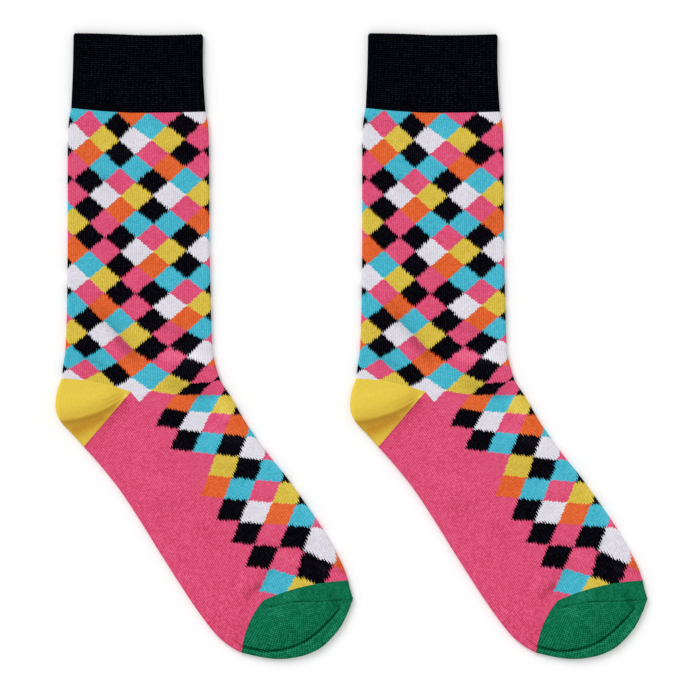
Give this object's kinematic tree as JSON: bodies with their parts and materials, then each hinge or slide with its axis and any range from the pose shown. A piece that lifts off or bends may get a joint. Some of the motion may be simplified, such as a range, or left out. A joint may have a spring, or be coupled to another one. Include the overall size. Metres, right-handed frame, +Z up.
{
  "type": "pair of patterned crew socks, laid flat",
  "caption": "Pair of knitted crew socks laid flat side by side, with ribbed cuffs, patterned legs and insteps, plain soles, and contrast heels and toes.",
  "frame": {"origin": "middle of the pair's bounding box, on the surface that the socks lie on", "axes": "+Z up, out of the side that shows; +Y along the legs, from the toes to the cuffs; +X from the left sock to the right sock, the side that the toes point to"},
  "size_m": [0.4018, 0.4248, 0.0056],
  "materials": {
    "cuff_navy": "near-black navy combed cotton, fine 1x1 rib, matt",
    "patterned_knit": "fine jersey knit of combed cotton in black, pink, cyan, yellow, orange and white diamonds, matt",
    "heel_yellow": "golden yellow jersey knit, matt",
    "sole_pink": "pink jersey knit, matt",
    "toe_green": "deep green jersey knit, matt"
  },
  "bodies": {
    "root": {"left_cuff": "cuff_navy", "left_leg": "patterned_knit", "left_heel": "heel_yellow", "left_sole": "sole_pink", "left_instep": "patterned_knit", "left_toe": "toe_green", "right_cuff": "cuff_navy", "right_leg": "patterned_knit", "right_heel": "heel_yellow", "right_sole": "sole_pink", "right_instep": "patterned_knit", "right_toe": "toe_green"}
  },
  "joints": []
}
